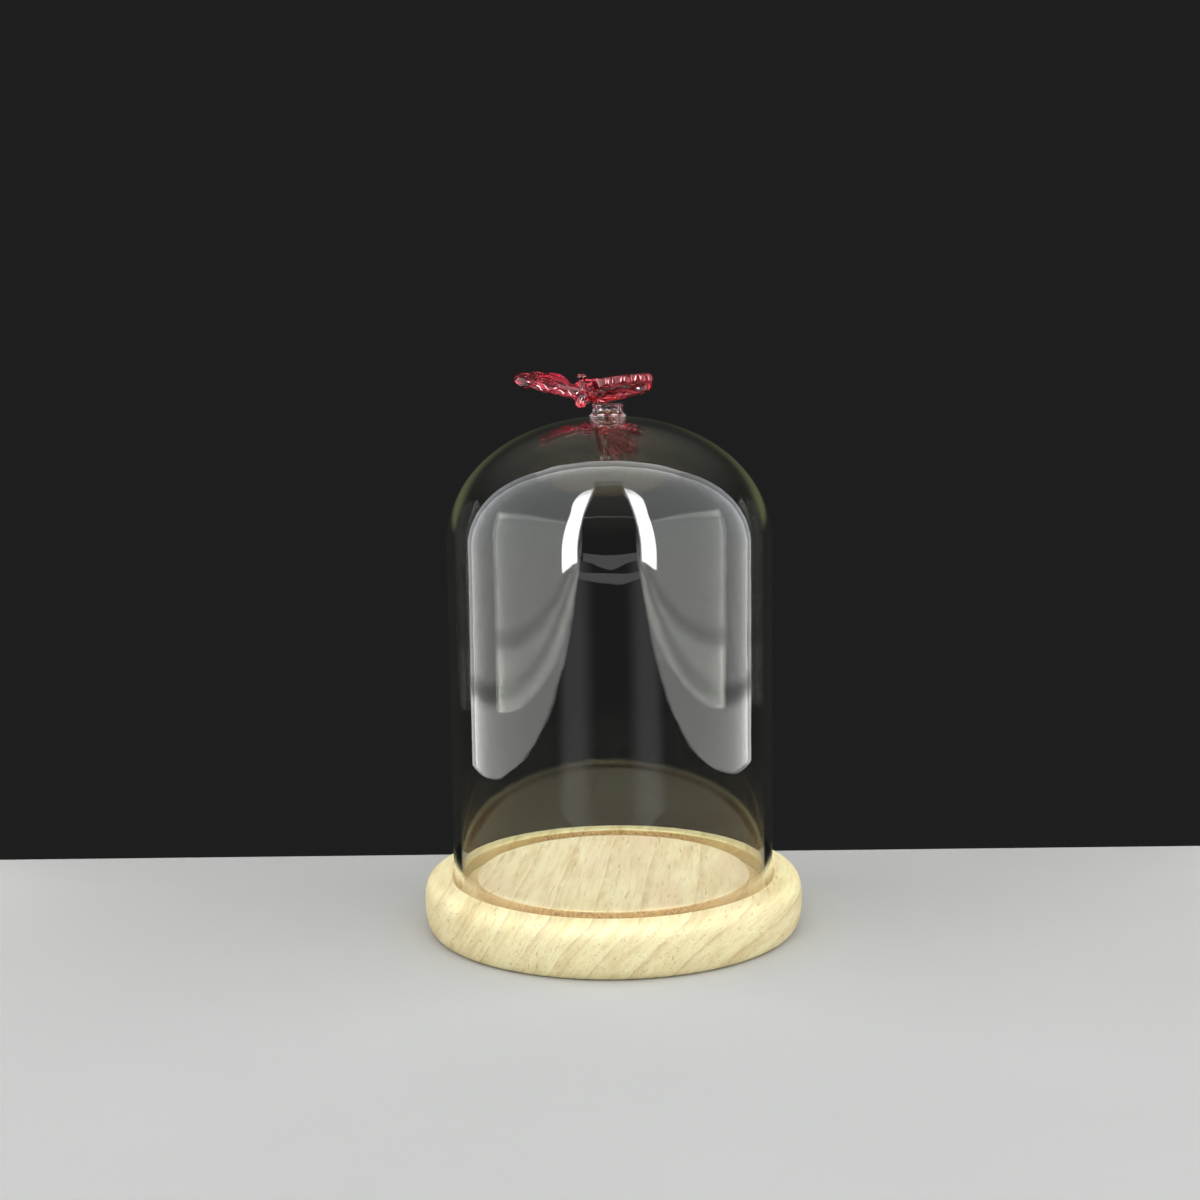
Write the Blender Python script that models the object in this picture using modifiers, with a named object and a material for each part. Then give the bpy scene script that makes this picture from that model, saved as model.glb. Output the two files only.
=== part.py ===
"""Bell jar dome: a glass bell with a red glass butterfly on top, standing in a grooved wooden base.

Metres, +Z up. The origin is the centre of the base's underside and Z is the turning axis of the
base and the bell. The bell lifts straight up out of its groove, and the stem and the butterfly
are fused to its crown, so they hang from one empty on that axis.
"""
import math

import bmesh
import bpy

# Wooden base, one turned piece
BASE_RADIUS = 0.0675
BASE_BELLY_HEIGHT = 0.0093     # height of the widest ring
BASE_FOOT_RADIUS = 0.0638      # edge of the flat underside
BASE_FOOT_EXPONENT = 2.2
RIM_TOP = 0.0190
RIM_CROWN_RADIUS = 0.0610      # the rim is level up to here, then rounds over to the belly
RIM_CROWN_EXPONENT = 3.0
RIM_EDGE_ROUND = 0.0008
DISC_RADIUS = 0.0488
DISC_TOP = 0.0187
DISC_EDGE_ROUND = 0.0004
GROOVE_RADIUS = 0.05775
GROOVE_FLOOR = 0.0140
GROOVE_FILLET = 0.0006

# Glass bell
TOUCH_GAP = 0.0003             # left between pieces that touch
BELL_RADIUS = 0.0571
BELL_WALL = 0.0028
BELL_BOTTOM = GROOVE_FLOOR + TOUCH_GAP
BELL_SHOULDER = 0.1371         # height where the straight wall ends
BELL_APEX = 0.1815
BELL_CROWN_WALL = 0.0032
BELL_CROWN_EXPONENT = 2.07

# Drop of glass that hangs inside the crown, under the stem
DROP_TIP = 0.1658
DROP_BEAD_RADIUS = 0.0017
DROP_NECK_RADIUS = 0.0008
DROP_ROOT_RADIUS = 0.0046
DROP_ROOT_CLEARANCE = 1.2      # the crown's own profile stops at this many root radii
DROP_FLARE = 5.0

# Clear stem, fused to the crown by its foot
STEM_BOTTOM = BELL_APEX + TOUCH_GAP
STEM_HEIGHT = 0.0040
STEM_FOOT_RADIUS = 0.0065
STEM_FOOT_HEIGHT = 0.0008
STEM_WAIST_RADIUS = 0.0050
STEM_WAIST_HEIGHT = 0.0022     # the foot's skirt flares out below here
STEM_TOP_RADIUS = 0.0054
STEM_EDGE_ROUND = 0.0006

# Butterfly: its own frame has +Y to the head, +X to its right wings and +Z up
BUTTERFLY_PLACE = (-0.0013, 0.0, 0.1893)
BUTTERFLY_HEADING = math.radians(130.0)
BUTTERFLY_PITCH = math.radians(-2.5)
BUTTERFLY_ROLL = math.radians(1.2)

# Body lobes along its axis: distance ahead of the frame, half length, radius
ABDOMEN = (-0.0045, 0.0080, 0.0023)
THORAX = (0.0032, 0.0048, 0.0026)
HEAD = (0.0096, 0.0028, 0.0024)
BODY_NECK_RADIUS = 0.0013      # least radius between the lobes
BODY_DROP = 0.0003             # the body's axis lies this far below the frame
BODY_TILT = math.radians(-3.0)

WING_THICKNESS = 0.0026
WING_FAN_CENTRE = 0.0052       # the wings fan out from this point of the body's axis
WING_ROOT = 0.0032             # distance of the wings' inner edge from the axis
WING_ROOT_DROP = 0.0008

# Fan of each wing: rear and front angle from straight out, reach, corner fall-off, rise, cupping
FOREWING = (math.radians(-14.0), math.radians(38.0), 0.0312, 0.22, 0.0078, 1.35)
HINDWING = (math.radians(-75.0), math.radians(-21.0), 0.0215, 0.15, 0.0060, 1.9)
WING_CORNER_EXPONENT = 3.0
WING_SCALLOPS = 4
WING_SCALLOP_DEPTH = 0.035

ANTENNA_WIRE_RADIUS = 0.0005
ANTENNA_CLUB = 1.9             # the tip's radius against the wire's
ANTENNA_CLUB_START = 0.6       # share of the length where the club begins
ANTENNA_CLUB_LENGTH = 0.42     # share of the length
ANTENNA_ROOT_SPREAD = 0.0010   # distance from the butterfly's middle plane
ANTENNA_TIP_SPREAD = 0.0014
ANTENNA_FOOT = (0.0082, 0.0015)
ANTENNA_LEAN = 0.0012
ANTENNA_LENGTH = 0.0069

# Fineness of the meshes
TURN_STEPS = 48
SMALL_TURN_STEPS = 20
CROWN_POINTS = 13
BELLY_POINTS = 7
EDGE_POINTS = 3
DROP_POINTS = 6
DROP_BEAD_POINTS = 7
BODY_POINTS = 22
WING_RINGS = 7
WING_RAYS = 12
ANTENNA_POINTS = 8

MERGE_DISTANCE = 0.00001
COLLECTION_NAME = "bell_jar_dome"

# Finishes: colour, roughness, metallic, transmission
WOOD = ((0.78, 0.67, 0.47, 1.0), 0.55, 0.0, 0.0)
CLEAR_GLASS = ((0.93, 0.96, 0.92, 1.0), 0.03, 0.0, 1.0)
RED_GLASS = ((0.62, 0.02, 0.06, 1.0), 0.05, 0.0, 1.0)


def clear_scene():
    for thing in list(bpy.data.objects):
        bpy.data.objects.remove(thing, do_unlink=True)


def new_collection(name):
    collection = bpy.data.collections.new(name)
    bpy.context.scene.collection.children.link(collection)
    return collection


def new_material(name, finish):
    colour, roughness, metallic, transmission = finish
    material = bpy.data.materials.new(name)
    material.use_nodes = True
    shader = material.node_tree.nodes["Principled BSDF"]
    shader.inputs["Base Color"].default_value = colour
    shader.inputs["Roughness"].default_value = roughness
    shader.inputs["Metallic"].default_value = metallic
    shader.inputs["Transmission Weight"].default_value = transmission
    material.diffuse_color = colour
    return material


def add_object(collection, name, data, finish, parent=None):
    thing = bpy.data.objects.new(name, data)
    collection.objects.link(thing)
    thing.data.materials.append(new_material(name + "_material", finish))
    thing.parent = parent
    return thing


def add_empty(collection, name, parent=None):
    empty = bpy.data.objects.new(name, None)
    empty.empty_display_size = 0.02
    collection.objects.link(empty)
    empty.parent = parent
    return empty


def ellipse_arc(centre, half_axes, exponent, start, end, count):
    """Points (radius, height) of a superellipse between two angles, both ends included."""
    points = []
    for index in range(count):
        angle = start + (end - start) * index / (count - 1)
        cosine = math.cos(angle)
        sine = math.sin(angle)
        across = math.copysign(abs(cosine) ** (2.0 / exponent), cosine)
        along = math.copysign(abs(sine) ** (2.0 / exponent), sine)
        points.append((centre[0] + half_axes[0] * across, centre[1] + half_axes[1] * along))
    return points


def round_edge(centre, radius, start_degrees, end_degrees):
    start = math.radians(start_degrees)
    end = math.radians(end_degrees)
    return ellipse_arc(centre, (radius, radius), 2.0, start, end, EDGE_POINTS)


def turned(collection, name, profile, finish, steps, parent=None):
    """Solid of revolution about the object's Z axis, from (radius, height) points."""
    mesh = bpy.data.meshes.new(name)
    vertices = [(radius, 0.0, height) for radius, height in profile]
    edges = [(index, index + 1) for index in range(len(profile) - 1)]
    mesh.from_pydata(vertices, edges, [])
    thing = add_object(collection, name, mesh, finish, parent)
    screw = thing.modifiers.new("turn", 'SCREW')
    screw.axis = 'Z'
    screw.angle = math.tau
    screw.steps = steps
    screw.render_steps = steps
    screw.use_merge_vertices = True
    screw.merge_threshold = MERGE_DISTANCE
    screw.use_smooth_shade = True
    return thing


def base_profile():
    """Display disc, groove, rim, belly and underside, from the top centre round to the bottom."""
    disc_side = DISC_RADIUS - DISC_EDGE_ROUND
    rim_side = GROOVE_RADIUS + RIM_EDGE_ROUND
    profile = [(0.0, DISC_TOP)]
    profile += round_edge((disc_side, DISC_TOP - DISC_EDGE_ROUND), DISC_EDGE_ROUND, 90, 0)
    floor = GROOVE_FLOOR + GROOVE_FILLET
    profile += round_edge((DISC_RADIUS + GROOVE_FILLET, floor), GROOVE_FILLET, 180, 270)
    profile += round_edge((GROOVE_RADIUS - GROOVE_FILLET, floor), GROOVE_FILLET, 270, 360)
    profile += round_edge((rim_side, RIM_TOP - RIM_EDGE_ROUND), RIM_EDGE_ROUND, 180, 90)
    crown = (BASE_RADIUS - RIM_CROWN_RADIUS, RIM_TOP - BASE_BELLY_HEIGHT)
    foot = (BASE_RADIUS - BASE_FOOT_RADIUS, BASE_BELLY_HEIGHT)
    profile += ellipse_arc((RIM_CROWN_RADIUS, BASE_BELLY_HEIGHT), crown, RIM_CROWN_EXPONENT,
                           math.pi / 2, 0.0, BELLY_POINTS)
    profile += ellipse_arc((BASE_FOOT_RADIUS, BASE_BELLY_HEIGHT), foot, BASE_FOOT_EXPONENT,
                           0.0, -math.pi / 2, BELLY_POINTS)[1:]
    profile.append((0.0, 0.0))
    return profile


def drop_profile(root_height):
    """Hanging drop, from its flared root on the inner crown down to its tip on the axis."""
    bead_height = DROP_TIP + DROP_BEAD_RADIUS
    shoulder = math.acos(DROP_NECK_RADIUS / DROP_BEAD_RADIUS)
    neck_height = bead_height + DROP_BEAD_RADIUS * math.sin(shoulder)
    points = []
    for index in range(DROP_POINTS):
        down = index / DROP_POINTS
        flare = (DROP_ROOT_RADIUS - DROP_NECK_RADIUS) * (1.0 - down) ** DROP_FLARE
        points.append((DROP_NECK_RADIUS + flare, root_height + (neck_height - root_height) * down))
    points += ellipse_arc((0.0, bead_height), (DROP_BEAD_RADIUS, DROP_BEAD_RADIUS), 2.0,
                          shoulder, -math.pi / 2, DROP_BEAD_POINTS)
    return points


def bell_profile():
    """Outer side from the apex down, round the fire-polished rim, and up the inner side."""
    rim_radius = BELL_WALL / 2
    outer_crown = (BELL_RADIUS, BELL_APEX - BELL_SHOULDER)
    inner_radius = BELL_RADIUS - BELL_WALL
    inner_apex = BELL_APEX - BELL_CROWN_WALL
    inner_crown = (inner_radius, inner_apex - BELL_SHOULDER)
    centre = (0.0, BELL_SHOULDER)
    profile = ellipse_arc(centre, outer_crown, BELL_CROWN_EXPONENT, math.pi / 2, 0.0, CROWN_POINTS)
    profile += ellipse_arc((BELL_RADIUS - rim_radius, BELL_BOTTOM + rim_radius),
                           (rim_radius, rim_radius), 2.0, 0.0, -math.pi, 2 * EDGE_POINTS - 1)
    inner = ellipse_arc(centre, inner_crown, BELL_CROWN_EXPONENT, 0.0, math.pi / 2, CROWN_POINTS)
    profile += [point for point in inner if point[0] > DROP_ROOT_CLEARANCE * DROP_ROOT_RADIUS]
    across = 1.0 - (DROP_ROOT_RADIUS / inner_radius) ** BELL_CROWN_EXPONENT
    root_height = BELL_SHOULDER + inner_crown[1] * across ** (1.0 / BELL_CROWN_EXPONENT)
    profile += drop_profile(root_height)
    return profile


def stem_profile():
    """Short stem whose foot flares out to a thin rounded skirt."""
    top = STEM_BOTTOM + STEM_HEIGHT
    foot_round = STEM_FOOT_HEIGHT / 2
    profile = [(0.0, top)]
    profile += round_edge((STEM_TOP_RADIUS - STEM_EDGE_ROUND, top - STEM_EDGE_ROUND),
                          STEM_EDGE_ROUND, 90, 0)
    profile.append((STEM_WAIST_RADIUS, STEM_BOTTOM + STEM_WAIST_HEIGHT))
    profile += ellipse_arc((STEM_FOOT_RADIUS - foot_round, STEM_BOTTOM + foot_round),
                           (foot_round, foot_round), 2.0, math.pi / 2, -math.pi / 2,
                           2 * EDGE_POINTS - 1)
    profile.append((0.0, STEM_BOTTOM))
    return profile


def body_profile():
    """Head, thorax and abdomen as three lobes that run into each other, from the head's tip to the tail's."""
    front = HEAD[0] + HEAD[1]
    rear = ABDOMEN[0] - ABDOMEN[1]
    profile = []
    for index in range(BODY_POINTS + 1):
        ahead = front + (rear - front) * (0.5 - 0.5 * math.cos(math.pi * index / BODY_POINTS))
        radius = BODY_NECK_RADIUS if ABDOMEN[0] < ahead < HEAD[0] else 0.0
        for centre, half_length, across in (HEAD, THORAX, ABDOMEN):
            inside = max(1.0 - ((ahead - centre) / half_length) ** 2, 0.0)
            radius = max(radius, across * math.sqrt(inside))
        profile.append((radius, ahead))
    return profile


def wing_reach(fan, share):
    """Distance from the fan's centre to the wing's margin, at a share of the fan's angle."""
    reach, falloff = fan[2], fan[3]
    corner = abs(2.0 * share - 1.0) ** WING_CORNER_EXPONENT
    scallop = abs(math.sin(WING_SCALLOPS * math.pi * share))
    return reach * (1.0 - falloff * corner) * (1.0 - WING_SCALLOP_DEPTH * (1.0 - scallop))


def wing_height(fan, reach):
    """Height of the wing's middle surface at a distance from the fan's centre."""
    share = reach / fan[2]
    return fan[4] * share ** fan[5] - WING_ROOT_DROP * (1.0 - share)


def add_wing(collection, name, fan, side, parent):
    """Fan-shaped sheet of glass, thickened to both faces; side is +1 right or -1 left."""
    shape = bmesh.new()
    grid = []
    for ray in range(WING_RAYS + 1):
        share = ray / WING_RAYS
        angle = fan[0] + (fan[1] - fan[0]) * share
        inner = WING_ROOT / math.cos(angle)
        outer = wing_reach(fan, share)
        row = []
        for ring in range(WING_RINGS + 1):
            reach = inner + (outer - inner) * ring / WING_RINGS
            out = reach * math.cos(angle)
            ahead = WING_FAN_CENTRE + reach * math.sin(angle)
            row.append(shape.verts.new((side * out, ahead, wing_height(fan, reach))))
        grid.append(row)
    for ray in range(WING_RAYS):
        for ring in range(WING_RINGS):
            corners = [grid[ray][ring], grid[ray][ring + 1],
                       grid[ray + 1][ring + 1], grid[ray + 1][ring]]
            shape.faces.new(corners if side > 0 else corners[::-1])
    mesh = bpy.data.meshes.new(name)
    shape.to_mesh(mesh)
    shape.free()
    mesh.shade_smooth()
    wing = add_object(collection, name, mesh, RED_GLASS, parent)
    thicken = wing.modifiers.new("thickness", 'SOLIDIFY')
    thicken.thickness = WING_THICKNESS
    thicken.offset = 0.0
    thicken.use_even_offset = True
    return wing


def add_antenna(collection, name, side, parent):
    """Glass thread that leans forward out of the head and swells to a club."""
    curve = bpy.data.curves.new(name, 'CURVE')
    curve.dimensions = '3D'
    curve.bevel_depth = ANTENNA_WIRE_RADIUS
    curve.bevel_resolution = 2
    curve.use_fill_caps = True
    spline = curve.splines.new('POLY')
    spline.points.add(ANTENNA_POINTS - 1)
    for index, point in enumerate(spline.points):
        share = index / (ANTENNA_POINTS - 1)
        ahead = ANTENNA_FOOT[0] + ANTENNA_LEAN * share
        out = side * (ANTENNA_ROOT_SPREAD + (ANTENNA_TIP_SPREAD - ANTENNA_ROOT_SPREAD) * share)
        point.co = (out, ahead, ANTENNA_FOOT[1] + ANTENNA_LENGTH * share, 1.0)
        along = (share - ANTENNA_CLUB_START) / ANTENNA_CLUB_LENGTH
        swell = math.sin(math.pi * min(max(along, 0.0), 1.0))
        point.radius = 1.0 + (ANTENNA_CLUB - 1.0) * swell
    return add_object(collection, name, curve, RED_GLASS, parent)


def add_butterfly(collection, bell_frame):
    """Body, two antennae and four wings, in a frame that is turned as one over the stem."""
    frame = add_empty(collection, "butterfly_frame", bell_frame)
    frame.location = BUTTERFLY_PLACE
    frame.rotation_euler = (BUTTERFLY_PITCH, BUTTERFLY_ROLL, BUTTERFLY_HEADING)
    body = turned(collection, "butterfly_body", body_profile(), RED_GLASS, SMALL_TURN_STEPS, frame)
    body.location = (0.0, 0.0, -BODY_DROP)
    body.rotation_euler = (BODY_TILT - math.pi / 2, 0.0, 0.0)
    for side, word in ((1, "right"), (-1, "left")):
        add_wing(collection, "forewing_" + word, FOREWING, side, frame)
        add_wing(collection, "hindwing_" + word, HINDWING, side, frame)
        add_antenna(collection, "antenna_" + word, side, frame)


def build():
    clear_scene()
    collection = new_collection(COLLECTION_NAME)
    turned(collection, "wooden_base", base_profile(), WOOD, TURN_STEPS)
    bell_frame = add_empty(collection, "dome_lift_frame")
    turned(collection, "glass_dome", bell_profile(), CLEAR_GLASS, TURN_STEPS, bell_frame)
    turned(collection, "finial_stem", stem_profile(), CLEAR_GLASS, SMALL_TURN_STEPS, bell_frame)
    add_butterfly(collection, bell_frame)


build()
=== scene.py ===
"""Looks of the bell jar dome: a clear blown bell with a red glass butterfly, on a turned pale wooden base.

Metres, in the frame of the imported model: +Z up, the origin under the centre of the base.
"""
import math

import bpy
from mathutils import Euler, Matrix, Vector, noise


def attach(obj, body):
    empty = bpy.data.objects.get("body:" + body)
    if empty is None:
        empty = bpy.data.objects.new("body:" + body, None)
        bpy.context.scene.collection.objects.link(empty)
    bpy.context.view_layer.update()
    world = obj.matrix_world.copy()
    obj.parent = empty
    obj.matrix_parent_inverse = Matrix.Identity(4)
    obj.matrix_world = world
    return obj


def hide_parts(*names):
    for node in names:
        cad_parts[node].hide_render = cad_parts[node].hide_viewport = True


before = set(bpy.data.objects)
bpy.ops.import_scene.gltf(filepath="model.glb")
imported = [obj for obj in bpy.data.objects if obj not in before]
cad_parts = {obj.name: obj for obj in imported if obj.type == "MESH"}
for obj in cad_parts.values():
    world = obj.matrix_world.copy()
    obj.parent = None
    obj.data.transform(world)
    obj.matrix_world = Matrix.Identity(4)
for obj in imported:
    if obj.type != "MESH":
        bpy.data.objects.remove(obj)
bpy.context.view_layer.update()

TAU = math.tau
SCENE = bpy.context.scene


# ---------------------------------------------------------------- camera

CAMERA_PLACE = Vector((0.0, -0.6971, 0.2201))
CAMERA_PITCH, CAMERA_ROLL, CAMERA_YAW = 0.147, -0.013, -0.005    # radians


def add_camera():
    forward = Vector((math.sin(CAMERA_YAW) * math.cos(CAMERA_PITCH),
                      math.cos(CAMERA_YAW) * math.cos(CAMERA_PITCH),
                      -math.sin(CAMERA_PITCH)))
    level = Vector((math.cos(CAMERA_YAW), -math.sin(CAMERA_YAW), 0.0))
    upward = level.cross(forward)
    right = math.cos(CAMERA_ROLL) * level + math.sin(CAMERA_ROLL) * upward
    up = -math.sin(CAMERA_ROLL) * level + math.cos(CAMERA_ROLL) * upward
    data = bpy.data.cameras.new("camera")
    data.lens = 60.0
    data.sensor_width = 36.0
    data.clip_start = 0.01
    data.clip_end = 20.0
    camera = bpy.data.objects.new("camera", data)
    SCENE.collection.objects.link(camera)
    turn = Matrix((right, up, -forward)).transposed()
    camera.matrix_world = Matrix.Translation(CAMERA_PLACE) @ turn.to_4x4()
    SCENE.camera = camera


# ---------------------------------------------------------------- shader nodes

SHOWN_ABOVE, CLEAR_BELOW = 0.38, 0.28             # heights between which a lamp seen through glass fades


class Shader:
    """A material's or the world's node tree, with short calls for the nodes that repeat."""

    def __init__(self, tree):
        self.tree = tree
        tree.nodes.clear()

    def add(self, kind, inputs=None, **settings):
        node = self.tree.nodes.new(kind)
        for name, value in settings.items():
            setattr(node, name, value)
        for key, value in (inputs or {}).items():
            socket = node.inputs[key]
            if isinstance(value, bpy.types.NodeSocket):
                self.tree.links.new(value, socket)
            else:
                socket.default_value = value
        return node

    def math(self, operation, first, second=0.0, third=0.0):
        return self.add("ShaderNodeMath", {0: first, 1: second, 2: third}, operation=operation).outputs[0]

    def times(self, first, *others):
        for other in others:
            first = self.math('MULTIPLY', first, other)
        return first

    def place(self):
        """The shaded point on the object, in the model's metres."""
        return self.add("ShaderNodeTexCoord").outputs["Object"]

    def parts(self, vector):
        return self.add("ShaderNodeSeparateXYZ", {0: vector}).outputs

    def scaled(self, vector, scale):
        return self.add("ShaderNodeVectorMath", {0: vector, 1: scale}, operation='MULTIPLY').outputs[0]

    def noise(self, vector, scale, detail=3.0, roughness=0.5, output="Fac"):
        return self.add("ShaderNodeTexNoise", {"Vector": vector, "Scale": scale, "Detail": detail,
                                               "Roughness": roughness}).outputs[output]

    def step(self, value, start, end, low=0.0, high=1.0):
        """Smooth step of value from low at start to high at end."""
        return self.add("ShaderNodeMapRange",
                        {"Value": value, "From Min": start, "From Max": end,
                         "To Min": low, "To Max": high},
                        interpolation_type='SMOOTHSTEP').outputs[0]

    def mix(self, share, first, second, blend='MIX'):
        return self.add("ShaderNodeMix", {0: share, 6: first, 7: second},
                        data_type='RGBA', blend_type=blend).outputs[2]

    def bounced(self, depth):
        """1 where the light path's count of that name is one or more."""
        return self.math('GREATER_THAN', self.add("ShaderNodeLightPath").outputs[depth], 0.5)

    def surface(self, shader):
        self.add("ShaderNodeOutputMaterial", {"Surface": shader.outputs[0]})

    def see_through(self, shader, share, tint=(1.0, 1.0, 1.0, 1.0)):
        """End the material: the shader, except for a share of it that is clear or tinted."""
        clear = self.add("ShaderNodeBsdfTransparent", {"Color": tint})
        self.surface(self.add("ShaderNodeMixShader", {0: share, 1: shader.outputs[0], 2: clear.outputs[0]}))

    def lamp(self, strength, tone, height):
        """Emission for mirror images; low down it is clear to what looks straight through glass."""
        path = self.add("ShaderNodeLightPath").outputs
        bounces = self.math('ADD', path["Glossy Depth"], path["Diffuse Depth"])
        straight = self.times(path["Is Transmission Ray"], self.math('LESS_THAN', bounces, 0.5))
        hidden = self.times(straight, self.step(height, SHOWN_ABOVE, CLEAR_BELOW))
        shown = self.times(strength, self.math('SUBTRACT', 1.0, hidden))
        self.see_through(self.add("ShaderNodeEmission", {"Color": tone, "Strength": shown}), hidden)

    def first_surface(self, strength, tone):
        """Emission that only the glass's outer surface mirrors, and that nothing sees through glass."""
        emission = self.add("ShaderNodeEmission", {"Color": tone, "Strength": strength})
        self.see_through(emission, self.bounced("Transmission Depth"))

    def ramp(self, value, stops):
        node = self.add("ShaderNodeValToRGB", {0: value})
        elements = node.color_ramp.elements
        while len(elements) < len(stops):
            elements.new(0.5)
        for element, (place, colour) in zip(elements, stops):
            element.position = place
            element.color = colour
        return node.outputs[0]


def colour(red, green, blue):
    return (red, green, blue, 1.0)


def new_material(name):
    material = bpy.data.materials.new(name)
    material.use_nodes = True
    return material, Shader(material.node_tree)


LOG_HEART = (0.100, -0.077)                       # X and Z of the log's heart, to the right and below
GRAIN_TURN = math.radians(5.0)
RING_WIDTH, RING_RADIUS = 0.0108, 0.127           # growth rings, and their mean radius in the disc
SAPWOOD = [(0.30, colour(0.725, 0.590, 0.330)), (0.50, colour(0.845, 0.745, 0.465)),
           (0.70, colour(0.900, 0.835, 0.560))]
HEARTWOOD = colour(0.770, 0.590, 0.400)
LATE_WOOD = colour(0.560, 0.400, 0.200)
DARK_FIBRE = colour(0.520, 0.370, 0.200)
OPEN_VESSEL = colour(0.420, 0.270, 0.120)
END_PORE = colour(0.300, 0.170, 0.070)
# The groove's colours: torn end grain, darkened further by painted shade in the recess.
CUT_FACE_AND_SHADE, CUT_PIT = colour(0.540, 0.320, 0.125), colour(0.200, 0.085, 0.026)
RIM_TINT, DISC_TINT = colour(1.0, 1.0, 0.91), colour(0.985, 0.958, 0.995)


def wood_material():
    """Pale ring-porous wood: the fibres run along Y, slightly turned, and the rings arch over below."""
    material, s = new_material("pale_turned_wood")
    place = s.place()
    turned = s.add("ShaderNodeVectorRotate", {"Vector": place, "Angle": GRAIN_TURN},
                   rotation_type='Z_AXIS').outputs[0]
    # Growth rings: distance from the heart of the log, bent by slow waves
    slow = s.noise(s.scaled(turned, (1.0, 0.22, 1.0)), 34.0, 2.0, output="Color")
    bend = s.add("ShaderNodeVectorMath", {0: slow, 1: (0.5, 0.5, 0.5)}, operation='SUBTRACT').outputs[0]
    bent = s.add("ShaderNodeVectorMath", {0: bend, 1: (0.0045, 0.0, 0.0045), 2: turned},
                 operation='MULTIPLY_ADD').outputs[0]
    in_log = s.parts(bent)
    across = s.math('SUBTRACT', in_log["X"], LOG_HEART[0])
    above = s.math('SUBTRACT', in_log["Z"], LOG_HEART[1])
    distance = s.math('SQRT', s.math('ADD', s.times(across, across), s.times(above, above)))
    ring = s.math('FRACT', s.math('DIVIDE', distance, RING_WIDTH))
    late = s.math('POWER', ring, 8.0)
    # Fibres and vessels, drawn out along the grain and, less, along the rings
    along_ring = s.times(s.math('ARCTAN2', above, across), RING_RADIUS)
    layered = s.add("ShaderNodeCombineXYZ", {0: distance, 1: in_log["Y"], 2: along_ring}).outputs[0]
    fibre = s.noise(s.scaled(layered, (1.0, 0.05, 0.22)), 1500.0, 3.0, 0.6)
    streak = s.noise(s.scaled(layered, (1.0, 0.09, 0.16)), 360.0, 3.0, 0.6)
    vessel = s.step(s.noise(s.scaled(layered, (1.0, 0.075, 0.60)), 1150.0, 1.0), 0.665, 0.74)
    pore = s.step(s.noise(place, 1500.0, 1.0), 0.63, 0.70)
    patch = s.noise(s.scaled(turned, (1.0, 0.35, 1.0)), 42.0, 2.0)
    # End grain shows where the surface faces along the fibres
    normal = s.parts(s.add("ShaderNodeNewGeometry").outputs["Normal"])
    end_grain = s.step(s.math('ABSOLUTE', normal["Y"]), 0.55, 0.95)
    flat_grain = s.math('MULTIPLY_ADD', end_grain, -0.75, 1.0)
    # The groove's walls and floor are rough from the cutter and darker: partly torn end grain, partly painted
    # shade in the recess
    radius = s.add("ShaderNodeVectorMath", {0: s.scaled(place, (1.0, 1.0, 0.0))},
                   operation='LENGTH').outputs["Value"]
    in_ring = s.times(s.step(radius, 0.0482, 0.0488), s.step(radius, 0.0584, 0.0578))
    groove = s.times(in_ring, s.step(s.parts(place)["Z"], 0.01875, 0.0181))
    on_disc = s.step(radius, 0.0500, 0.0485)

    wood = s.ramp(streak, SAPWOOD)
    wood = s.mix(on_disc, s.mix(1.0, wood, RIM_TINT, 'MULTIPLY'), s.mix(1.0, wood, DISC_TINT, 'MULTIPLY'))
    heart = s.times(s.step(patch, 0.40, 0.66), s.math('MULTIPLY_ADD', on_disc, 0.48, 0.22), flat_grain)
    wood = s.mix(heart, wood, HEARTWOOD)
    broken = s.step(s.noise(s.scaled(turned, (1.0, 0.4, 1.0)), 260.0, 2.0), 0.35, 0.60, 0.25)
    wood = s.mix(s.times(late, 0.72, broken), wood, LATE_WOOD)
    wood = s.mix(s.times(s.step(fibre, 0.52, 0.30), 0.30), wood, DARK_FIBRE)
    wood = s.mix(s.times(vessel, 0.48), wood, OPEN_VESSEL)
    wood = s.mix(s.times(pore, end_grain, 0.22), wood, END_PORE)
    pit = s.step(s.noise(place, 1150.0, 4.0, 0.85), 0.48, 0.56)
    torn = s.times(pit, s.math('MULTIPLY_ADD', end_grain, 0.80, 0.15))
    rough_cut_and_shade = s.mix(torn, CUT_FACE_AND_SHADE, CUT_PIT)
    # Painted shade: the groove is darkened as a whole, and more where end grain shows.
    wood = s.mix(s.times(groove, s.math('MULTIPLY_ADD', end_grain, 0.40, 0.50)), wood, rough_cut_and_shade)

    vessel_relief = s.math('MULTIPLY_ADD', vessel, -0.8, s.times(pore, groove, -2.5))
    relief = s.math('ADD', s.times(fibre, 0.35), vessel_relief)
    bump = s.add("ShaderNodeBump", {"Strength": 0.35, "Distance": 0.00012, "Height": relief})
    roughness = s.math('MULTIPLY_ADD', fibre, 0.22, 0.44)
    s.surface(s.add("ShaderNodeBsdfPrincipled", {"Base Color": wood, "Roughness": roughness,
                                                 "Normal": bump.outputs[0], "Specular IOR Level": 0.35}))
    return material


PAINTED_REFLECTION_HEIGHTS = 0.1822, 0.1842                    # the stem's glass turns from clear to red between them: painted reflection of the red butterfly above


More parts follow.
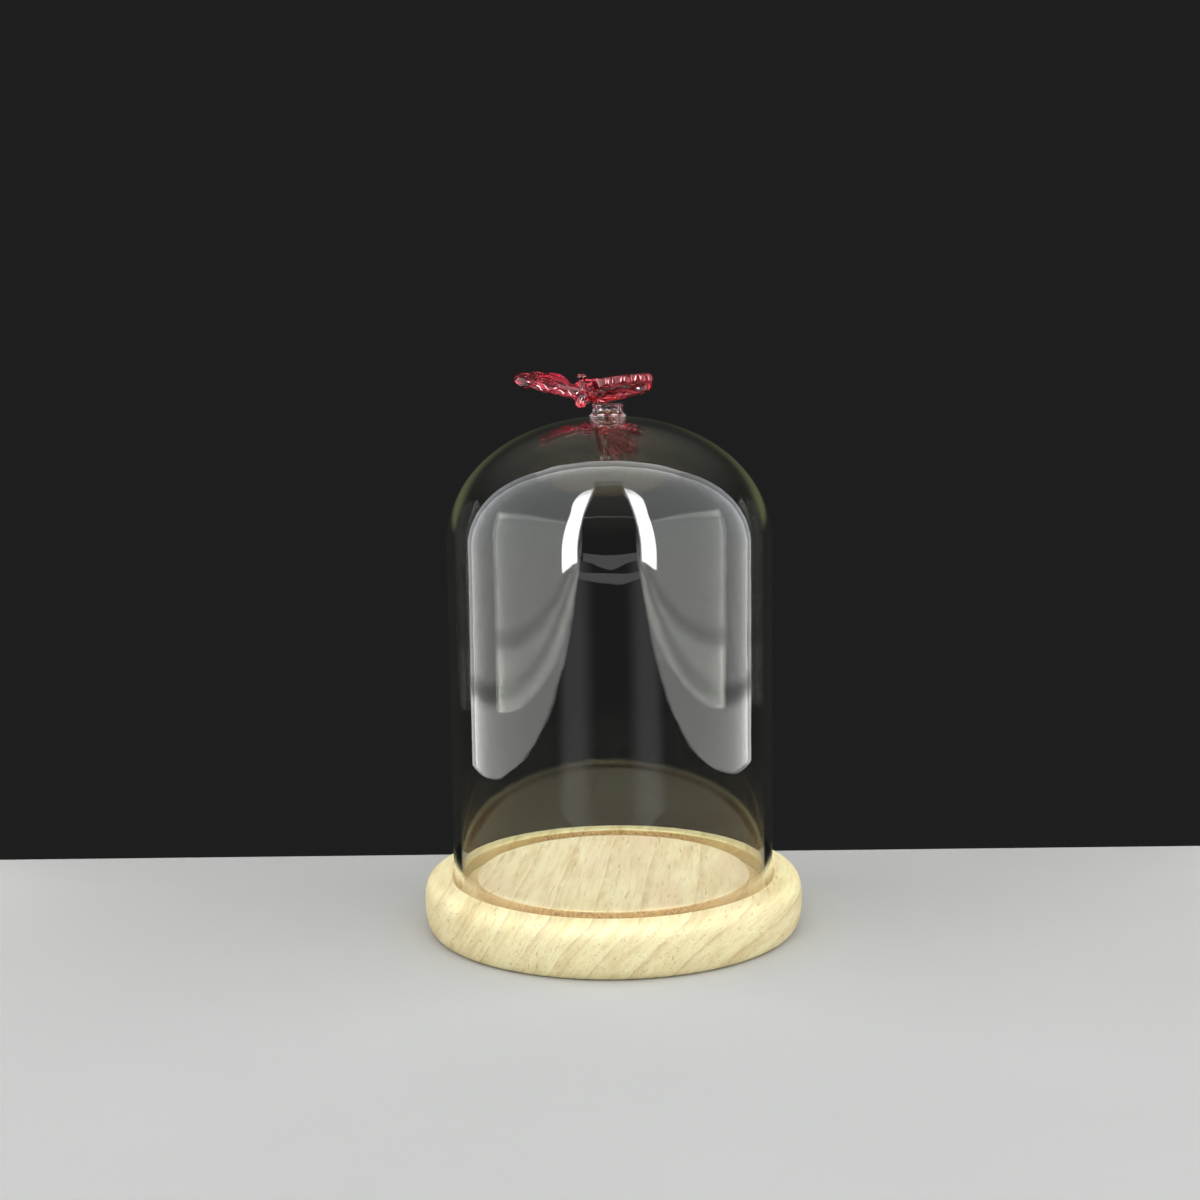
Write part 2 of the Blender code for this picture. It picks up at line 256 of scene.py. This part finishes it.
def glass_material(name, tints, shadow_tint, ripple, painted_butterfly_reflection=None, roughness=0.0, ior=1.44):
    """Smooth glass. Shadow rays pass with a tint, so the lamps light what stands inside.

    ripple is the bump's strength, its noise scale and its depth in metres. The optional colour after ripple
    is painted into the glass near the top of the stem, a painted reflection of the red butterfly above.
    """
    material, s = new_material(name)
    place = s.place()
    strength, scale, depth = ripple
    bump = s.add("ShaderNodeBump", {"Strength": strength, "Distance": depth,
                                    "Height": s.noise(place, scale, 2.0)})
    tone = s.mix(s.step(s.noise(place, 110.0, 2.0), 0.40, 0.62), *tints)
    # Painted reflection: the red butterfly above is tinted into the stem's clear glass near its top.
    if painted_butterfly_reflection:
        tone = s.mix(s.step(s.parts(place)["Z"], *PAINTED_REFLECTION_HEIGHTS), tone, painted_butterfly_reflection)
    shader = s.add("ShaderNodeBsdfPrincipled", {"Base Color": tone, "Normal": bump.outputs[0], "IOR": ior,
                                                "Roughness": roughness, "Transmission Weight": 1.0})
    lamp_ray = s.add("ShaderNodeLightPath").outputs["Is Shadow Ray"]
    s.see_through(shader, lamp_ray, shadow_tint)
    return material


def floor_material():
    """Pale matt table top. Its mirror image in the glass is kept faint."""
    material, s = new_material("pale_floor")
    tone = s.mix(s.noise(s.place(), 9.0), colour(0.470, 0.466, 0.458), colour(0.500, 0.496, 0.488))
    tone = s.mix(s.bounced("Glossy Depth"), tone, colour(0.008, 0.008, 0.008))
    s.surface(s.add("ShaderNodeBsdfPrincipled", {"Base Color": tone, "Roughness": 0.75,
                                                 "Specular IOR Level": 0.0}))
    return material


# ---------------------------------------------------------------- mesh helpers

def add_piece(name, body, nodes, material, mesh):
    piece = bpy.data.objects.new(name, mesh)
    SCENE.collection.objects.link(piece)
    mesh.materials.append(material)
    mesh.shade_smooth()
    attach(piece, body)
    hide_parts(*nodes)


def mesh_from(name, vertices, faces):
    mesh = bpy.data.meshes.new(name)
    mesh.from_pydata(vertices, [], faces)
    mesh.validate()
    mesh.update()
    return mesh


ON_AXIS = 1e-7                                    # a point nearer the axis than this is on it


def revolve(name, profile, steps, shape=None):
    """Closed solid of revolution from (radius, height) points, the first and the last on the axis.

    shape(radius, height, angle) may move a point; it returns (radius, height).
    """
    vertices, rings = [], []
    for radius, height in profile:
        if radius < ON_AXIS:
            rings.append([len(vertices)] * steps)
            vertices.append((0.0, 0.0, height))
            continue
        ring = []
        for step in range(steps):
            angle = TAU * step / steps
            r, z = shape(radius, height, angle) if shape else (radius, height)
            ring.append(len(vertices))
            vertices.append((r * math.cos(angle), r * math.sin(angle), z))
        rings.append(ring)
    faces = []
    for upper, lower in zip(rings, rings[1:]):
        for step in range(steps):
            after = (step + 1) % steps
            corners = []
            for corner in (upper[step], lower[step], lower[after], upper[after]):
                if corner not in corners:
                    corners.append(corner)
            if len(corners) > 2:
                faces.append(corners)
    return mesh_from(name, vertices, faces)


def fraction(value, start, end):
    """How far value has come from start to end, kept between 0 and 1."""
    return min(max((value - start) / (end - start), 0.0), 1.0)


def arc(centre, half_axes, exponent, start, end, count):
    """Points (radius, height) of a superellipse between two angles in degrees, both included."""
    points = []
    for index in range(count):
        angle = math.radians(start + (end - start) * index / (count - 1))
        cosine, sine = math.cos(angle), math.sin(angle)
        across = math.copysign(abs(cosine) ** (2.0 / exponent), cosine)
        along = math.copysign(abs(sine) ** (2.0 / exponent), sine)
        points.append((centre[0] + half_axes[0] * across, centre[1] + half_axes[1] * along))
    return points


def line(start, end, count):
    """Points between two (radius, height) points, the ends left out."""
    return [(start[0] + (end[0] - start[0]) * i / count, start[1] + (end[1] - start[1]) * i / count)
            for i in range(1, count)]


# ---------------------------------------------------------------- wooden base

def base_profile():
    """Display disc, ring groove, rim, bullnose side and flat underside, from the axis outwards."""
    disc_r, disc_z, disc_round = 0.0488, 0.0187, 0.0004
    wall_r, floor_z, fillet = 0.05775, 0.0140, 0.0006
    rim_z, rim_round, crown_r = 0.0190, 0.0008, 0.0610
    belly_r, belly_z, foot_r = 0.0675, 0.0093, 0.0638
    points = [(0.0, disc_z)] + line((0.0, disc_z), (disc_r - disc_round, disc_z), 10)
    points += arc((disc_r - disc_round, disc_z - disc_round), (disc_round, disc_round), 2, 90, 0, 6)
    points += line((disc_r, disc_z - disc_round), (disc_r, floor_z + fillet), 9)
    points += arc((disc_r + fillet, floor_z + fillet), (fillet, fillet), 2, 180, 270, 5)
    points += line((disc_r + fillet, floor_z), (wall_r - fillet, floor_z), 6)
    points += arc((wall_r - fillet, floor_z + fillet), (fillet, fillet), 2, 270, 360, 5)
    points += line((wall_r, floor_z + fillet), (wall_r, rim_z - rim_round), 9)
    points += arc((wall_r + rim_round, rim_z - rim_round), (rim_round, rim_round), 2, 180, 90, 8)
    points += line((wall_r + rim_round, rim_z), (crown_r, rim_z), 3)
    points += arc((crown_r, belly_z), (belly_r - crown_r, rim_z - belly_z), 3, 90, 0, 22)
    points += arc((foot_r, belly_z), (belly_r - foot_r, belly_z), 2.2, 0, -90, 16)[1:]
    points += line((foot_r, 0.0), (0.0, 0.0), 4) + [(0.0, 0.0)]
    return points


def base_shape(radius, height, angle):
    """Torn fibres on the disc's edge, the rim's edge and the groove's walls and floor."""
    below_groove, disc_top, inside, outside = 0.0139, 0.0186, 0.0480, 0.0600
    if height < below_groove or not inside <= radius <= outside:
        return radius, height
    across_fibres = abs(math.sin(angle))
    spot = Vector((radius * math.cos(angle), radius * math.sin(angle), height))
    fine = noise.noise(spot * 1700.0) * (0.4 + 0.6 * across_fibres)
    coarse = noise.noise(spot * 420.0)
    torn = 0.00006 * fine + 0.00003 * coarse
    return radius + torn, height + (0.00004 * fine if height < disc_top else 0.0)


def add_base(material):
    mesh = revolve("wooden_base_turned", base_profile(), 540, base_shape)
    add_piece("wooden_base_turned", "base", ["wooden_base"], material, mesh)


# ---------------------------------------------------------------- glass bell

BELL_RADIUS, BELL_WALL = 0.0571, 0.0028
BELL_BOTTOM, BELL_SHOULDER, BELL_APEX = 0.0143, 0.1371, 0.1815
CROWN_WALL, CROWN_EXPONENT = 0.0032, 2.07


def crown_height(radius, wall=0.0):
    """Height of the bell's outer crown, or of its inner one where wall is the crown's thickness."""
    across = BELL_RADIUS - (BELL_WALL if wall else 0.0)
    rise = BELL_APEX - wall - BELL_SHOULDER
    share = (1.0 - (radius / across) ** CROWN_EXPONENT) ** (1.0 / CROWN_EXPONENT)
    return BELL_SHOULDER + rise * share


def bell_profile():
    """Outer crown and wall, round rim, then the inner wall and crown back to the axis."""
    inner_radius = BELL_RADIUS - BELL_WALL
    outer_rise = BELL_APEX - BELL_SHOULDER
    inner_rise = outer_rise - CROWN_WALL
    half = BELL_WALL / 2
    points = arc((0.0, BELL_SHOULDER), (BELL_RADIUS, outer_rise), CROWN_EXPONENT, 90, 0, 64)
    points += line((BELL_RADIUS, BELL_SHOULDER), (BELL_RADIUS, BELL_BOTTOM + half), 36)
    points += arc((BELL_RADIUS - half, BELL_BOTTOM + half), (half, half), 2, 0, -180, 17)
    points += line((inner_radius, BELL_BOTTOM + half), (inner_radius, BELL_SHOULDER), 36)
    points += arc((0.0, BELL_SHOULDER), (inner_radius, inner_rise), CROWN_EXPONENT, 0, 90, 64)
    return points


def bell_shape(radius, height, angle):
    """Slow waves of blown glass, fading out at the rim and at the crown's top."""
    fade = fraction(height, 0.030, 0.060) * fraction(radius, 0.012, 0.024)
    spot = Vector((radius * math.cos(angle), radius * math.sin(angle), height * 0.6))
    wave, inset = noise.noise(spot * 32.0) * 0.00010, 0.00006
    return radius + fade * (wave - inset), height


def add_bell(material):
    mesh = revolve("glass_bell_clear", bell_profile(), 288, bell_shape)
    add_piece("glass_bell_clear", "bell", ["glass_dome"], material, mesh)


def add_drop(material):
    """Pulled drop of glass that hangs from the inner crown, a little off the axis."""
    root, neck, bead, tip = 0.0026, 0.0005, 0.0017, 0.1658
    off_axis, gap, count = -0.0010, 0.0001, 40
    top, bead_height = crown_height(0.0, CROWN_WALL) - gap, tip + bead
    points = [(0.0, top), (root * 0.5, top)]
    for index in range(count):
        down = (index / count) ** 1.2
        flare = (root - neck) * (1.0 - down) ** 7
        swell = (bead - neck) * math.exp(-((1.0 - down) / 0.15) ** 2)
        points.append((neck + flare + swell, top + (bead_height - top) * down))
    points += arc((0.0, bead_height), (bead, bead), 2, 0, -90, 12)
    mesh = revolve("crown_drop", points, 72)
    mesh.transform(Matrix.Translation((off_axis, 0.0, 0.0)))
    add_piece("crown_drop", "bell", ["glass_dome"], material, mesh)


# ---------------------------------------------------------------- stem

def add_stem(material):
    """Fluted neck with a rounded foot that follows the bell's crown."""
    top, top_r, top_round = 0.1858, 0.0054, 0.0006
    foot_r, foot_round, foot_half, gap = 0.0062, 0.0003, 0.00025, 0.0001
    skirt = [(0.0051, 0.1842), (0.00515, 0.1837), (0.0053, 0.1831), (0.0056, 0.1826), (0.0060, 0.1821)]
    flat_r, shoulder_z = top_r - top_round, top - top_round
    points = [(0.0, top)] + line((0.0, top), (flat_r, top), 4)
    points += arc((flat_r, shoulder_z), (top_round, top_round), 2, 90, 0, 6)
    points += line((top_r, shoulder_z), skirt[0], 6) + skirt
    lip = crown_height(foot_r) + gap
    points += arc((foot_r, lip + foot_half), (foot_round, foot_half), 2, 80, -90, 9)
    points += [(r, crown_height(r) + gap) for r in (0.0055, 0.0045, 0.003, 0.0015, 0.0)]

    def flutes(radius, height, angle):
        """Eight shallow flutes above the foot, and a slightly uneven round."""
        off_axis = min(radius / 0.004, 1.0)
        depth = 0.085 * fraction(height, 0.1828, 0.1836) * off_axis
        uneven = abs(0.012 * math.sin(3.0 * angle + 0.7) * off_axis)
        return radius * (1.0 - depth * (0.5 - 0.5 * math.cos(8.0 * angle)) - uneven), height

    mesh = revolve("stem_fluted", points, 160, flutes)
    add_piece("stem_fluted", "bell", ["finial_stem"], material, mesh)


# ---------------------------------------------------------------- butterfly

BUTTERFLY = (Matrix.Translation((-0.0013, 0.0, 0.1893))
             @ Euler((math.radians(-2.5), math.radians(1.2), math.radians(130.0)), 'XYZ')
             .to_matrix().to_4x4())
FAN_CENTRE = 0.0052                               # Y of the point that the wings fan out from
WING_ROOT = 0.0016
# rear and front are angles from straight out, in degrees; rounding draws in the fan's two corners
FOREWING = {"rear": -14.0, "front": 38.0, "reach": 0.0312, "rounding": 0.22, "lobes": 4,
            "rise": 0.0071, "cupping": 1.15, "thick_root": 0.35}
HINDWING = {"rear": -82.0, "front": -20.0, "reach": 0.0208, "rounding": 0.15, "lobes": 3,
            "rise": 0.0034, "cupping": 1.9, "thick_root": 0.70}
RIGHT, LEFT = 1, -1
# The left wings were pressed a little flatter
LESS_RISE = {RIGHT: 0.0, LEFT: 0.0009}
LESS_CUPPING = {RIGHT: 0.0, LEFT: 0.162}


def wing_reach(fan, share):
    """Length of the wing at a share of the way from its rear edge to its front edge."""
    corner = abs(2.0 * share - 1.0) ** 3
    lobe = abs(math.sin(fan["lobes"] * math.pi * share)) ** 0.75
    return fan["reach"] * (1.0 - fan["rounding"] * corner) * (1.0 - 0.075 * (1.0 - lobe))


def wing_height(fan, side, reach, share, t):
    """Height of the wing's middle surface: it cups upwards, and waves a little at its front edge."""
    up = min(reach / fan["reach"], 1.0)
    rise = fan["rise"] - LESS_RISE[side]
    cupped = rise * up ** (fan["cupping"] - LESS_CUPPING[side]) - 0.0008 * (1.0 - up)
    return cupped + 0.00035 * math.sin(16.0 * t + 1.0) * share ** 4


def wing_mesh(name, fan, side):
    """Pressed wing, cupped upwards: ribs fan out to its lobed margin, with dished cells between them."""
    rays, rings = 96, 48
    rib_half, margin_round = 0.00150, 0.0015
    spread = [0.5 - 0.5 * math.cos(math.pi * ring / rings) for ring in range(rings + 1)]
    grid = []
    for ray in range(rays + 1):
        share = ray / rays
        angle = math.radians(fan["rear"] + (fan["front"] - fan["rear"]) * share)
        inner, outer = WING_ROOT / math.cos(angle), wing_reach(fan, share)
        row = []
        for t in spread:
            reach = inner + (outer - inner) * t
            row.append(Vector((side * reach * math.cos(angle), FAN_CENTRE + reach * math.sin(angle),
                               wing_height(fan, side, reach, share, t))))
        grid.append(row)
    vertices, top, under = [], [], []
    for ray in range(rays + 1):
        share = ray / rays
        top.append([])
        under.append([])
        length = (grid[ray][rings] - grid[ray][0]).length
        rib = 0.5 + 0.5 * math.cos(fan["lobes"] * TAU * share)
        for ring, t in enumerate(spread):
            here = grid[ray][ring]
            out_way = grid[ray][min(ring + 1, rings)] - grid[ray][max(ring - 1, 0)]
            round_way = grid[min(ray + 1, rays)][ring] - grid[max(ray - 1, 0)][ring]
            normal = out_way.cross(round_way).normalized() * side
            width = (grid[rays][ring] - grid[0][ring]).length
            edge = min((1.0 - t) * length, min(share, 1.0 - share) * width * 1.15, t * length + 0.0004)
            roll = math.sqrt(max(0.0, 1.0 - (1.0 - min(edge / margin_round, 1.0)) ** 2))
            dish = (1.0 - rib) ** 0.8 * min(t / 0.30, 1.0) * max(fraction(t, 1.0, 0.84), 0.15)
            bead = 0.38 * math.exp(-((t - 0.88) / 0.10) ** 2)
            pinch = 1.0 + 0.22 * math.sin(20.0 * t) * share ** 3
            half = rib_half * roll * (1.0 - 0.50 * dish + bead) * pinch
            half *= 1.0 + fan["thick_root"] * (1.0 - t)
            index = len(vertices)
            top[-1].append(index)
            if ray in (0, rays) or ring in (0, rings):
                under[-1].append(index)
                vertices.append(here)
            else:
                under[-1].append(index + 1)
                vertices += [here + half * normal, here - half * normal]
    faces = []
    for ray in range(rays):
        for ring in range(rings):
            upper = [top[ray][ring], top[ray][ring + 1], top[ray + 1][ring + 1], top[ray + 1][ring]]
            lower = [under[ray][ring], under[ray + 1][ring], under[ray + 1][ring + 1],
                     under[ray][ring + 1]]
            faces += [upper[::side], lower[::side]]   # the left wings are mirrored, so their faces turn round
    return mesh_from(name, [BUTTERFLY @ v for v in vertices], faces)


def body_mesh(name):
    """Head, thorax and ringed abdomen, laid along the butterfly's Y axis."""
    # Centre along the body, half length and radius of each lobe
    lobes = ((0.0096, 0.0028, 0.0024), (0.0032, 0.0048, 0.0026), (-0.0045, 0.0080, 0.0023))
    tail, nose, count = -0.0125, 0.0124, 120
    waist_r, waist_end, abdomen = 0.0013, 0.011, -0.0010
    profile = []
    for index in range(count + 1):
        along = nose + (tail - nose) * (0.5 - 0.5 * math.cos(math.pi * index / count))
        radius = waist_r if abs(along) < waist_end else 0.0
        for centre, half_length, across in lobes:
            inside = max(1.0 - ((along - centre) / half_length) ** 2, 0.0)
            radius = max(radius, across * math.sqrt(inside))
        ringed = 0.00005 * math.sin(along * 3300.0) if along < abdomen else 0.0
        profile.append((max(radius + ringed * min(radius / 0.001, 1.0), 0.0), along))
    profile[0], profile[-1] = (0.0, profile[0][1]), (0.0, profile[-1][1])
    mesh = revolve(name, profile, 48)
    mesh.transform(Matrix.Rotation(-math.pi / 2, 4, 'X'))
    for vertex in mesh.vertices:                      # the head and the tail hang a little
        vertex.co.z -= (0.0003 + 0.0013 * max((vertex.co.y - 0.0035) / 0.0065, 0.0) ** 2
                        + 0.0006 * max((-vertex.co.y - 0.0035) / 0.0085, 0.0) ** 2)
    mesh.transform(BUTTERFLY)
    return mesh


def antenna_mesh(name, side):
    """Drawn thread of glass, swelling to a drop at its tip."""
    rings, sides = 40, 20
    centres, radii = [], []
    for index in range(rings + 1):
        t = index / rings
        centres.append(Vector((side * (0.0008 + 0.0004 * t), 0.0082 + 0.0012 * t, 0.0012 + 0.0064 * t)))
        wire = 0.00045 + 0.0002 * (1.0 - t) ** 3
        club = 0.00068 * math.exp(-((t - 0.82) / 0.14) ** 2)
        end = math.sqrt(max(0.0, 1.0 - max(0.0, (t - 0.84) / 0.16) ** 2))
        radii.append((wire + club) * end)
    vertices, faces = [], []
    for index, (centre, radius) in enumerate(zip(centres, radii)):
        if index in (0, rings):
            vertices.append(centre)
            continue
        for step in range(sides):
            angle = TAU * step / sides
            vertices.append(centre + Vector((radius * math.cos(angle), radius * math.sin(angle), 0.0)))
    root, tip = 0, len(vertices) - 1
    first_ring, last_ring = 1, 1 + (rings - 2) * sides
    for start in range(first_ring, last_ring, sides):
        for step in range(sides):
            after = (step + 1) % sides
            faces.append([start + step, start + after, start + sides + after, start + sides + step])
    for step in range(sides):
        after = (step + 1) % sides
        faces.append([root, first_ring + after, first_ring + step])
        faces.append([tip, last_ring + step, last_ring + after])
    return mesh_from(name, [BUTTERFLY @ v for v in vertices], faces)


def add_butterfly(material):
    add_piece("butterfly_body_glass", "bell", ["butterfly_body"], material,
              body_mesh("butterfly_body_glass"))
    for side, word in ((RIGHT, "right"), (LEFT, "left")):
        for kind, fan in (("forewing", FOREWING), ("hindwing", HINDWING)):
            name = f"{kind}_{word}_glass"
            add_piece(name, "bell", [f"{kind}_{word}"], material,
                      wing_mesh(name, fan, side))
        name = f"antenna_{word}_glass"
        add_piece(name, "bell", [f"antenna_{word}"], material, antenna_mesh(name, side))


# ---------------------------------------------------------------- stage and light

def add_floor():
    """Table top whose far edge lies a little behind the object."""
    near, far, half, thick, under_base = -3.0, 0.090, 3.0, 0.03, -0.0001
    cells = 40
    steps = [index / cells for index in range(cells + 1)]
    rows = [(near + (far - near) * step, under_base) for step in steps] + [(far, -thick)]
    vertices = [(-half + 2.0 * half * step, y, z) for y, z in rows for step in steps]
    faces = []
    for row in range(len(rows) - 1):
        for column in range(cells):
            corner = row * len(steps) + column
            next_row = corner + len(steps)
            faces.append([corner, corner + 1, next_row + 1, next_row])
    mesh = mesh_from("floor", vertices, faces)
    floor = bpy.data.objects.new("floor", mesh)
    SCENE.collection.objects.link(floor)
    mesh.materials.append(floor_material())


def add_panel(name, centre, aim, size, strength, tone):
    """Soft rectangular lamp that lights matt surfaces and shows in no reflection."""
    data = bpy.data.lights.new(name, 'AREA')
    data.shape = 'RECTANGLE'
    data.size, data.size_y = size
    data.energy = strength * math.pi * size[0] * size[1]
    data.color = tone
    panel = bpy.data.objects.new(name, data)
    SCENE.collection.objects.link(panel)
    panel.location = centre
    panel.rotation_mode = 'QUATERNION'
    panel.rotation_quaternion = (Vector(aim) - Vector(centre)).to_track_quat('-Z', 'Y')
    panel.visible_camera = False
    panel.visible_glossy = False
    panel.visible_transmission = False


WALL_X, ROOF_Z = 0.30, 0.60                       # the light tent's half width and height
HEM_BEND, HEM_Y = 0.60, 0.038                     # the roof's rear hem: y = HEM_BEND x^2 + HEM_Y


def tent_material():
    """Lit cloth of the light tent: brighter along its rear hem, with a darker fold near the table."""
    material, s = new_material("tent_cloth")
    place = s.parts(s.place())
    x, y, z = place["X"], place["Y"], place["Z"]
    on_wall = s.step(z, ROOF_Z - 0.001, ROOF_Z - 0.003)
    from_hem = s.math('SUBTRACT', s.math('MULTIPLY_ADD', s.times(x, x), HEM_BEND, HEM_Y), y)
    glow = s.times(s.math('EXPONENT', s.times(from_hem, -30.0)), s.math('MULTIPLY_ADD', on_wall, -1.9, 3.8))
    base = s.math('MULTIPLY_ADD', s.step(z, 0.045, 0.030), 0.75, 1.34)
    fold = s.times(s.step(z, 0.030, 0.038), s.step(z, 0.048, 0.040), 0.60)
    strength = s.times(s.math('MULTIPLY_ADD', glow, base, base), s.math('SUBTRACT', 1.0, fold))
    tone = s.mix(s.step(z, 0.03, 0.30), colour(1.0, 1.0, 0.985), colour(0.960, 1.000, 1.030))
    s.lamp(strength, tone, z)
    return material


def strip_material():
    """Bright edge of the tent's opening: fading over the roof, and down towards the table."""
    material, s = new_material("tent_opening")
    place = s.parts(s.place())
    over_roof = s.step(place["Y"], -0.15, -0.30, 1.5, 28.0)
    towards_table = s.step(place["Z"], 0.040, 0.075, 0.10)
    s.lamp(s.times(over_roof, towards_table), colour(0.98, 1.0, 1.0), place["Z"])
    return material


def bar_material():
    """Dim bars across the tent's front, which show in the bell's outer surface only."""
    material, s = new_material("tent_bars")
    s.first_surface(1.7, colour(0.96, 0.97, 1.0))
    return material


def band_material():
    """Two dim bands that fan out over the table, which show in the bell's outer surface only."""
    material, s = new_material("table_bands")
    place = s.parts(s.place())
    slant = s.math('ABSOLUTE', s.math('DIVIDE', place["X"], place["Y"]))
    band = s.times(s.step(slant, 0.15, 0.40), s.step(slant, 0.74, 0.50))
    s.first_surface(s.times(band, 0.80), colour(0.96, 1.0, 1.0))
    return material


def add_sheet(name, corners, material, diffuse=True):
    """Flat luminous sheet, which shows in reflections but not to the camera."""
    sheet = bpy.data.objects.new(name, mesh_from(name, corners, [list(range(len(corners)))]))
    SCENE.collection.objects.link(sheet)
    sheet.data.materials.append(material)
    sheet.visible_camera = False
    sheet.visible_shadow = False
    sheet.visible_diffuse = diffuse


def add_pair(name, side_corners, material, diffuse=True):
    """The same sheet on the left and the right of the tent."""
    for side, word in ((LEFT, "left"), (RIGHT, "right")):
        add_sheet(f"{name}_{word}", [(side * x, y, z) for x, y, z in side_corners], material, diffuse)


def add_tent():
    """Light tent, open at the back and towards the camera: two walls and a roof with a slot."""
    cloth, bright = tent_material(), strip_material()
    front, rear, strip_rear, in_front = -0.77, 0.095, -0.50, 0.002
    # The wall's lower edge rises towards the front, in a rounded corner: (y, z)
    wall = [(rear, 0.0), (-0.35, 0.004), (-0.57, 0.011), (-0.66, 0.015), (-0.72, 0.021), (-0.755, 0.031),
            (front, 0.048), (front, ROOF_Z), (rear, ROOF_Z)]
    upright = [(strip_rear, 0.064), (front, 0.052), (front, ROOF_Z), (strip_rear, ROOF_Z)]
    # The roof ends at the hem behind and at the slot in front, whose edge is bright: (x, y)
    hem = [(WALL_X, 0.092), (0.22, 0.072), (0.10, 0.043), (0.0, HEM_Y), (0.0, -0.137)]
    slot = [(0.060, -0.137), (0.068, -0.197), (0.140, -0.378), (0.266, -0.703), (WALL_X, front)]
    over = [(WALL_X, strip_rear), (0.20, -0.308), (0.13, -0.23)]
    add_pair("tent_wall", [(WALL_X, y, z) for y, z in wall], cloth)
    add_pair("tent_roof", [(x, y, ROOF_Z) for x, y in hem + slot], cloth)
    add_pair("strip_wall", [(WALL_X - in_front, y, z) for y, z in upright], bright, False)
    add_pair("strip_roof", [(x, y, ROOF_Z - in_front) for x, y in slot[1:] + over], bright, False)


def add_bars():
    """Dim shapes in front of the object, which only the bell's outer surface mirrors."""
    bars = bar_material()
    lens = [(-0.283, 0.070), (-0.15, 0.036), (0.0, 0.026), (0.15, 0.036), (0.306, 0.066), (0.306, 0.185),
            (0.15, 0.155), (0.0, 0.145), (-0.15, 0.155), (-0.283, 0.185)]
    low_bar = [(-0.40, -0.945), (0.0, -0.960), (0.44, -0.925),
               (0.44, -0.980), (0.0, -1.045), (-0.40, -1.000)]
    roof_bar = [(-0.22, -0.574), (0.26, -0.580), (0.26, -0.600), (-0.22, -0.594)]
    bands = [(-0.20, -0.22), (0.20, -0.22), (1.20, -1.60), (-1.20, -1.60)]
    add_sheet("bar_front", [(x, -0.90, z) for x, z in lens], bars, False)
    add_sheet("bar_low", [(x, y, 0.003) for x, y in low_bar], bars, False)
    add_sheet("table_bands", [(x, y, 0.002) for x, y in bands], band_material(), False)
    add_sheet("bar_roof", [(x, y, ROOF_Z) for x, y in roof_bar], bars, False)


def add_lights():
    add_tent()
    add_bars()
    add_panel("top_fill", (0.0, -0.35, 1.0), (0.0, 0.0, 0.0), (0.9, 0.9), 2.2, (1.0, 0.985, 0.94))
    add_panel("front_fill", (0.20, -0.95, 0.28), (0.0, 0.0, 0.01), (0.5, 0.35), 3.0, (1.0, 1.0, 0.97))
    add_panel("back_fill", (0.0, 1.1, 0.8), (0.0, 0.0, 0.05), (0.9, 0.6), 0.7, (1.0, 1.0, 1.0))


def add_world():
    """Charcoal backdrop; mirror images see a low glow behind the object and a dim ceiling instead."""
    world = bpy.data.worlds.new("studio")
    SCENE.world = world
    world.use_nodes = True
    s = Shader(world.node_tree)
    way = s.parts(s.add("ShaderNodeTexCoord").outputs["Generated"])
    back, aside, up = way["Y"], s.math('ABSOLUTE', way["X"]), way["Z"]
    around = s.mix(s.step(back, -0.6, 0.2), colour(0.004, 0.004, 0.004), colour(0.018, 0.018, 0.017))
    glow_sides = s.times(s.step(back, 0.70, 0.90), s.step(aside, 0.05, 0.25, 0.20))
    glow_height = s.times(s.step(up, -0.04, 0.03), s.step(up, 0.26, 0.06))
    around = s.mix(s.times(glow_sides, glow_height), around, colour(0.105, 0.112, 0.058))
    mirrored = s.mix(s.step(up, 0.30, 0.80), around, colour(0.152, 0.153, 0.134))
    tone = s.mix(s.bounced("Glossy Depth"), colour(0.0137, 0.0132, 0.0140), mirrored)
    background = s.add("ShaderNodeBackground", {"Color": tone, "Strength": 1.0})
    s.add("ShaderNodeOutputWorld", {"Surface": background.outputs[0]})


def set_view():
    SCENE.view_settings.view_transform = 'Standard'
    SCENE.view_settings.look = 'None'
    SCENE.cycles.use_denoising = True
    SCENE.cycles.max_bounces = 20
    SCENE.cycles.transmission_bounces = 18
    SCENE.cycles.glossy_bounces = 10
    SCENE.cycles.transparent_max_bounces = 24
    SCENE.cycles.sample_clamp_indirect = 6.0


# ---------------------------------------------------------------- everything

add_camera()
clear_glass = glass_material(
    "clear_blown_glass", (colour(0.920, 0.934, 0.900), colour(0.930, 0.942, 0.912)),
    shadow_tint=colour(0.985, 0.990, 0.975), ripple=(0.05, 90.0, 0.0004))
red_glass = glass_material(
    "red_pressed_glass", (colour(0.42, 0.008, 0.028), colour(0.68, 0.085, 0.130)),
    shadow_tint=colour(0.75, 0.30, 0.34), ripple=(0.22, 240.0, 0.0005), ior=1.58)
add_base(wood_material())
add_bell(clear_glass)
# Painted shade: the drop is the bell's clear glass, tinted dark olive so it looks as dim as what shows
# through it.
add_drop(glass_material(
    "drop_glass_painted_shade", (colour(0.34, 0.32, 0.25), colour(0.40, 0.38, 0.30)),
    shadow_tint=colour(0.90, 0.90, 0.85), ripple=(0.10, 300.0, 0.0003), roughness=0.04))
# The stem is clear glass; its red near the top is a painted reflection of the butterfly.
add_stem(glass_material(
    "clear_stem_glass", (colour(0.90, 0.90, 0.86), colour(0.94, 0.94, 0.92)),
    shadow_tint=colour(0.95, 0.90, 0.88), ripple=(0.30, 300.0, 0.0004), painted_butterfly_reflection=colour(0.42, 0.16, 0.20)))
add_butterfly(red_glass)
add_floor()
add_lights()
add_world()
set_view()
